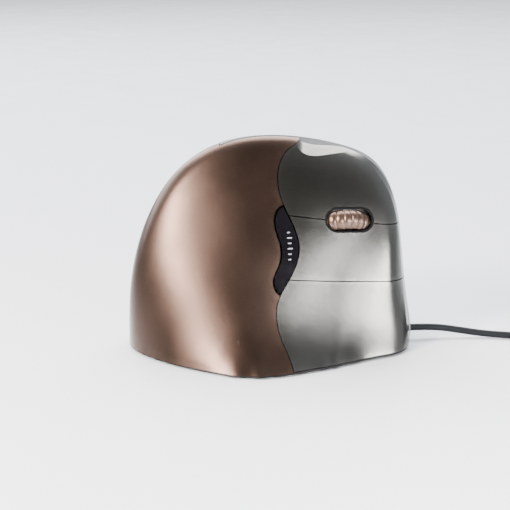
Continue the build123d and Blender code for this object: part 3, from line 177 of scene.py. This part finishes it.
def bump(tree, height, depth, normal=None):
    """A bump as deep as depth, in millimetres."""
    inputs = {"Height": height, "Strength": 1.0, "Distance": depth * MM}
    made = node(tree, "ShaderNodeBump", inputs)
    if normal is not None:
        tree.links.new(normal, made.inputs["Normal"])
    return made.outputs["Normal"]


# ---- materials: linear colours, features to the metre, and bump depths in millimetres ----
FLAKES, FLAKE_DEPTH, FLAKE_SHADE = 5200.0, 0.004, 0.82
PEEL, PEEL_DEPTH, COAT_ROUGH = 420, 0.012, 0.3
# Convex edges, found by pointiness, lighten towards a brighter copy of the paint: partly rubbed wear,
# partly a painted highlight that leaves grooves darker.
EDGE_START, EDGE_FULL, EDGE_RUB_AND_HIGHLIGHT, EDGE_HIGHLIGHT_GAIN = 0.53, 0.6, 0.35, 1.5
SCRATCH_DEPTH = 0.006
MARK_COLOUR = (0.30, 0.32, 0.35)


def metallic_paint(name, dark, light, metallic, rough, coat):
    """Satin metallic paint: fine flakes, a slow drift of tone, faint orange peel, and convex edges
    lightened towards a brighter copy of the paint: partly rubbed wear, partly a painted highlight.
    """
    material, tree, shader = new_material(name)
    flakes = node(tree, "ShaderNodeTexVoronoi", {
        "Vector": node(tree, "ShaderNodeTexCoord").outputs["Object"], "Scale": FLAKES})
    sparkle = span(tree, flakes.outputs["Distance"], 0.1, 0.7)
    tone = mix(tree, noise(tree, 28, 3), rgb(dark), rgb(light))
    glint = mix(tree, sparkle, tone, rgb([c * FLAKE_SHADE for c in dark]))
    # Painted highlight, partly rubbed wear: convex edges and rib crests take a lighter copy of the paint.
    edge = node(tree, "ShaderNodeNewGeometry").outputs["Pointiness"]
    rub_and_highlight_share = span(tree, edge, EDGE_START, EDGE_FULL, 0.0, EDGE_RUB_AND_HIGHLIGHT)
    rubbed_and_highlit = rgb([min(1, c * EDGE_HIGHLIGHT_GAIN) for c in light])
    plug(tree, shader.inputs["Base Color"], mix(tree, rub_and_highlight_share, glint, rubbed_and_highlit))
    plug(tree, shader.inputs["Roughness"], uneven(tree, 60, 4, rough, 0.035))
    shader.inputs["Metallic"].default_value = metallic
    shader.inputs["Coat Weight"].default_value = coat
    shader.inputs["Coat Roughness"].default_value = COAT_ROUGH
    peel = bump(tree, noise(tree, PEEL, 2), PEEL_DEPTH)
    plug(tree, shader.inputs["Normal"], bump(tree, flakes.outputs["Distance"], FLAKE_DEPTH, peel))
    return material


def plastic(name, dark, light, rough, grain=900, depth=0.02, coat=0.0, specular=0.5):
    """Moulded plastic with a fine spark-eroded grain."""
    material, tree, shader = new_material(name)
    plug(tree, shader.inputs["Base Color"], mix(tree, noise(tree, 45, 4), rgb(dark), rgb(light)))
    plug(tree, shader.inputs["Roughness"], uneven(tree, 120, 4, rough, 0.05))
    shader.inputs["Coat Weight"].default_value = coat
    shader.inputs["Specular IOR Level"].default_value = specular
    plug(tree, shader.inputs["Normal"], bump(tree, noise(tree, grain, 3, 0.6), depth))
    return material


def metal(name, dark, light, rough, grain=1500):
    """Turned or stamped metal with fine scratches."""
    material, tree, shader = new_material(name)
    plug(tree, shader.inputs["Base Color"], mix(tree, noise(tree, 300, 3), rgb(dark), rgb(light)))
    plug(tree, shader.inputs["Roughness"], uneven(tree, 500, 4, rough, 0.06))
    shader.inputs["Metallic"].default_value = 1.0
    plug(tree, shader.inputs["Normal"], bump(tree, noise(tree, grain, 3), SCRATCH_DEPTH))
    return material


def marked_gloss():
    """The rocker's glossy black, with a column of small plain pale bars."""
    material = plastic("rocker_gloss", (0.003, 0.003, 0.004), (0.006, 0.005, 0.007), 0.10,
                       grain=300, depth=0.002, coat=0.2)
    tree = material.node_tree
    shader = tree.nodes["Principled BSDF"]
    place = axes(tree, "Object")
    marks = None
    for x, z, half_wide in ROCKER_MARKS:
        beside = calculate(tree, "COMPARE", place["X"], x * MM, half_wide * MM)
        level = calculate(tree, "COMPARE", place["Z"], z * MM, MARK_HALF * MM)
        mark = calculate(tree, "MULTIPLY", beside, level)
        marks = mark if marks is None else calculate(tree, "MAXIMUM", marks, mark)
    ground = shader.inputs["Base Color"].links[0].from_socket
    plug(tree, shader.inputs["Base Color"], mix(tree, marks, ground, rgb(MARK_COLOUR)))
    return material


BRONZE = metallic_paint("bronze_paint", (0.080, 0.050, 0.038), (0.097, 0.062, 0.048),
                        metallic=0.95, rough=0.33, coat=0.05)
SILVER = metallic_paint("silver_paint", (0.125, 0.122, 0.112), (0.150, 0.147, 0.137),
                        metallic=0.96, rough=0.22, coat=0.05)
GRAPHITE = metallic_paint("graphite_paint", (0.085, 0.088, 0.092), (0.12, 0.122, 0.128),
                          metallic=0.7, rough=0.38, coat=0.1)
ROCKER_GLOSS = marked_gloss()
COPPER = metallic_paint("copper_paint", (0.15, 0.092, 0.068), (0.19, 0.118, 0.09),
                        metallic=0.85, rough=0.34, coat=0.1)
GRIP = plastic("soft_grip", (0.012, 0.012, 0.013), (0.022, 0.022, 0.024), 0.72, grain=1100, depth=0.05)
GLOSS = plastic("black_gloss", (0.006, 0.005, 0.007), (0.012, 0.010, 0.014), 0.13,
                grain=300, depth=0.002, coat=0.6)
BLACK = plastic("black_plastic", (0.010, 0.009, 0.009), (0.018, 0.016, 0.015), 0.5, specular=0.25)
SLOT_BLACK = plastic("slot_black", (0.003, 0.003, 0.003), (0.005, 0.005, 0.005), 0.6, specular=0.08)
CORD = plastic("cord_sleeve", (0.004, 0.005, 0.006), (0.008, 0.009, 0.011), 0.55,
               grain=700, depth=0.015, specular=0.15)
NYLON = plastic("white_nylon", (0.62, 0.61, 0.58), (0.70, 0.69, 0.66), 0.5)
GLIDE = plastic("glide", (0.10, 0.10, 0.105), (0.15, 0.15, 0.155), 0.35)
BOARD = plastic("board", (0.01, 0.09, 0.035), (0.015, 0.13, 0.05), 0.4)
RED = plastic("led_red", (0.45, 0.01, 0.01), (0.6, 0.03, 0.02), 0.2)
PALE = plastic("contact_white", (0.7, 0.7, 0.68), (0.8, 0.8, 0.78), 0.4)
STEEL = metal("steel", (0.52, 0.52, 0.53), (0.62, 0.62, 0.63), 0.26)

SLOT_LOOKS = {"palm_finish": BRONZE, "cap_finish": SILVER, "graphite": GRAPHITE, "grip": GRIP,
              "black_gloss": GLOSS, "black_plastic": BLACK, "copper_tyre": COPPER, "white_nylon": NYLON,
              "steel": STEEL, "board_green": BOARD, "glide": GLIDE, "cord_black": CORD, "clear": NYLON,
              "chip": BLACK, "led_red": RED, "ribbon_white": PALE, "contact_white": PALE,
              "chassis_black": BLACK}


def dress(piece, material):
    """Puts one material on every slot of a piece."""
    if not piece.material_slots:
        piece.data.materials.append(material)
    for slot in piece.material_slots:
        slot.material = material


def dress_cad():
    """Every CAD node gets the look of its material slot in the record."""
    for entry in frame["record"]["subparts"]:
        piece = frame["nodes"].get(entry["node"])
        if piece is not None:
            dress(piece, SLOT_LOOKS[entry["material_slot"]])
    dress(frame["nodes"]["speed_rocker"], ROCKER_GLOSS)


# ---- cord ----
def coil_route():
    """The coil's turns, layer on layer, each wound back across the one below."""
    middle = (COIL_LANES - 1) / 2
    lanes = []
    for layer in range(COIL_LANES):
        across = range(COIL_LANES) if layer % 2 else range(COIL_LANES - 1, -1, -1)
        lanes += [(COIL_R + (lane - middle) * LANE_STEP, (layer + 0.5) * LANE_STEP) for lane in across]
    turns = COIL_FULL_TURNS + (COIL_END - COIL_START) / 360
    route = []
    for step in range(1, round(turns * STEPS_PER_TURN)):
        turn, share = divmod(step / STEPS_PER_TURN, 1)
        (r0, z0), (r1, z1) = lanes[int(turn)], lanes[int(turn) + 1]
        over = smooth((share - 1 + CROSSING) / CROSSING)
        radius = (r0 + (r1 - r0) * over) / math.cos(math.pi / STEPS_PER_TURN)
        degrees = COIL_START + 360 * step / STEPS_PER_TURN
        from_tie = abs((degrees - TIE_ANGLE + 180) % 360 - 180)
        lift = TIE_LIFT * smooth(1 - from_tie / TIE_SPREAD)
        angle = math.radians(degrees)
        route.append((COIL_X + radius * math.cos(angle), COIL_Y + radius * math.sin(angle),
                      z0 + (z1 - z0) * over + lift))
    return route


def make_cord():
    """The whole cord on one smooth line, from the mouse to its plug."""
    data = bpy.data.curves.new("cord", "CURVE")
    data.dimensions = "3D"
    line = data.splines.new("NURBS")
    route = RUN_ROUTE + coil_route() + TAIL_ROUTE
    line.points.add(len(route) - 1)
    for point, place in zip(line.points, route):
        point.co = (*(value * MM for value in place), 1.0)
    line.order_u = 3
    line.use_endpoint_u = True
    line.resolution_u = 6
    data.bevel_depth = CORD_WIDE / 2 * MM
    data.bevel_resolution = 5
    data.use_fill_caps = True
    cord = bpy.data.objects.new("cord", data)
    bpy.context.collection.objects.link(cord)
    data.materials.append(CORD)
    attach(cord, "case")
    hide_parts("cord_run", "cord_coil", "cord_tail")


# ---- scroll wheel ----
def wheel_axes():
    """The wheel's centre, and the directions ahead, along its axle and out of the finger face."""
    spin = next(j for j in frame["record"]["behaviour"]["joints"] if j["name"] == "wheel_spin")
    axle = Vector(spin["axis"]).normalized()
    out = Vector(OUT_OF_FACE).normalized()
    return Vector(spin["pos_m"]), axle.cross(out).normalized(), axle, out


def mesh_piece(name, points, faces, material, body):
    """A smooth-shaded piece that rides on a body."""
    data = bpy.data.meshes.new(name)
    data.from_pydata([tuple(p) for p in points], [], faces)
    data.validate()
    for face in data.polygons:
        face.use_smooth = True
    piece = bpy.data.objects.new(name, data)
    bpy.context.collection.objects.link(piece)
    data.materials.append(material)
    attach(piece, body)
    return piece


def ring_faces(rings, size):
    """Quads between closed rings of points, the last joined to the first."""
    return [(a * size + b, a * size + (b + 1) % size, (a + 1) % rings * size + (b + 1) % size,
             (a + 1) % rings * size + b) for a in range(rings) for b in range(size)]


def make_tyre():
    """The ribbed rubber tyre: rounded ribs across a crowned tread."""
    middle, ahead, axle, out = wheel_axes()
    rows = [-row for row in reversed(HALF_TREAD[1:])] + HALF_TREAD
    points = []
    for step in range(RIBS * STEPS_PER_RIB):
        angle = 2 * math.pi * step / (RIBS * STEPS_PER_RIB)
        rib = abs(math.cos(RIBS * angle / 2)) ** RIB_POWER
        across = ahead * math.cos(angle) + out * math.sin(angle)
        for row in rows:
            radius = WHEEL_R - CROWN * abs(row) ** CROWN_POWER - RIB_DEEP * (1 - rib)
            radius = max(radius, WHEEL_CORE_R + CORE_COVER)
            points.append(middle + (across * radius + axle * row * WHEEL_HALF) * MM)
        for row in (1, -1):
            points.append(middle + (across * WHEEL_CORE_R + axle * row * WHEEL_HALF) * MM)
    faces = ring_faces(RIBS * STEPS_PER_RIB, len(rows) + 2)
    tyre = mesh_piece("ribbed_tyre", points, faces, COPPER, "wheel")
    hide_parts("wheel_tyre")


def stadium_point(angle, half_long, half_tall):
    """Where a line from the middle, at an angle, meets a stadium outline."""
    run = half_long - half_tall
    c, s = math.cos(angle), math.sin(angle)
    reach = half_tall / max(abs(s), 1e-6)
    if abs(c) * reach <= run:
        return c * reach, math.copysign(half_tall, s)
    side = math.copysign(run, c)
    inside = side * c
    length = inside + math.sqrt(inside * inside - run * run + half_tall * half_tall)
    return c * length, s * length


def make_rim():
    """The thin dark rim of the wheel's slot, level with the buttons round it."""
    middle, ahead, axle, out = wheel_axes()
    face = middle + out * WHEEL_DEPTH * MM
    buttons = [frame["nodes"][name] for name in ("button_upper", "button_middle")]
    profile = [(0, -RIM_DEEP), (0, 0), (-RIM_BEVEL, RIM_PROUD), (RIM_BEVEL - RIM_WIDE, RIM_PROUD),
               (-RIM_WIDE, 0), (-RIM_WIDE, -RIM_DEEP)]
    points = []
    for step in range(RIM_STEPS):
        angle = 2 * math.pi * step / RIM_STEPS
        x, y = stadium_point(angle, SLOT_HALF_LONG + PROBE_BESIDE, SLOT_HALF_TALL + PROBE_BESIDE)
        start = face + (ahead * x + axle * y + out * PROBE_ABOVE) * MM
        hits = [b.ray_cast(start, -out) for b in buttons]
        level = max([(hit[1] - face).dot(out) / MM for hit in hits if hit[0]], default=0.0)
        for grow, lift in profile:
            x, y = stadium_point(angle, SLOT_HALF_LONG + grow, SLOT_HALF_TALL + grow)
            points.append(face + (ahead * x + axle * y + out * (level + lift)) * MM)
    faces = ring_faces(RIM_STEPS, len(profile))
    rim = mesh_piece("slot_rim", points, faces, SLOT_BLACK, "case")
    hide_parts("wheel_bezel")


make_cord()
dress_cad()
make_tyre()
make_rim()


# ---- stage and light, in metres and watts ----
FLOOR_SIZE, FLOOR_IOR = 6.0, 1.75
FLOOR_DARK, FLOOR_LIGHT = (0.80, 0.82, 0.85), (0.84, 0.86, 0.89)
ROOM_DARK, ROOM_PALE, BACKDROP = (0.060, 0.052, 0.042), (0.86, 0.92, 1.0), (0.92, 0.95, 0.98)
DARK_UNTIL, PALE_FROM, PALE_TO_RIGHT, PALE_UPWARDS = -0.30, 0.55, 0.5, 0.3
CARD_WHITE = (0.97, 0.98, 1.0)


def make_floor():
    """A pale table top with a faint uneven gloss."""
    material, tree, shader = new_material("floor")
    plug(tree, shader.inputs["Base Color"], mix(tree, noise(tree, 6, 3), rgb(FLOOR_DARK), rgb(FLOOR_LIGHT)))
    plug(tree, shader.inputs["Roughness"], uneven(tree, 30, 3, 0.16, 0.03))
    shader.inputs["IOR"].default_value = FLOOR_IOR
    bpy.ops.mesh.primitive_plane_add(size=FLOOR_SIZE)
    floor = bpy.context.active_object
    floor.name = "floor"
    floor.data.materials.append(material)


def area_light(name, place, aim, size, power, colour=(1, 1, 1)):
    """A rectangular lamp at a place, turned to its aim, and itself out of view."""
    data = bpy.data.lights.new(name, "AREA")
    data.shape = "RECTANGLE"
    data.size, data.size_y = size
    data.energy = power
    data.color = colour
    light = bpy.data.objects.new(name, data)
    light.location = place
    light.visible_camera = False
    light.rotation_euler = (Vector(aim) - Vector(place)).to_track_quat("-Z", "Y").to_euler()
    bpy.context.collection.objects.link(light)


def make_world():
    """A pale room, darker on the side that the buttons face."""
    world = bpy.data.worlds.new("studio")
    bpy.context.scene.world = world
    world.use_nodes = True
    tree = world.node_tree
    way = axes(tree, "Generated")
    right = span(tree, way["X"], 0.0, 1.0, 0.0, PALE_TO_RIGHT)
    up = span(tree, way["Z"], 0.0, 1.0, 0.0, PALE_UPWARDS)
    turned = calculate(tree, "ADD", way["Y"], right)
    behind = span(tree, calculate(tree, "ADD", turned, up), DARK_UNTIL, PALE_FROM)
    room = mix(tree, behind, rgb(ROOM_DARK), rgb(ROOM_PALE))
    seen = node(tree, "ShaderNodeLightPath").outputs["Is Camera Ray"]
    plug(tree, tree.nodes["Background"].inputs["Color"], mix(tree, seen, room, rgb(BACKDROP)))
    tree.nodes["Background"].inputs["Strength"].default_value = 1.0


make_floor()
make_world()
area_light("key", place=(-0.47, -0.29, 0.36), aim=(0, 0, 0.04), size=(0.16, 0.22), power=12.0,
           colour=(1.0, 0.92, 0.87))
area_light("card", place=(0.19, -0.28, 0.088), aim=(0.02, 0, 0.03), size=(0.34, 0.045), power=1.9,
           colour=CARD_WHITE)
area_light("left card", place=(0.105, -0.27, 0.14), aim=(0.01, 0, 0.03), size=(0.12, 0.05), power=0.3,
           colour=CARD_WHITE)
area_light("window", place=(-0.7, 0.8, 0.55), aim=(0, 0, 0.04), size=(1.2, 0.6), power=20.0,
           colour=(0.9, 0.96, 1.0))
area_light("ceiling", place=(0.0, 0.75, 1.15), aim=(0, -0.1, 0), size=(1.8, 0.9), power=75.0)
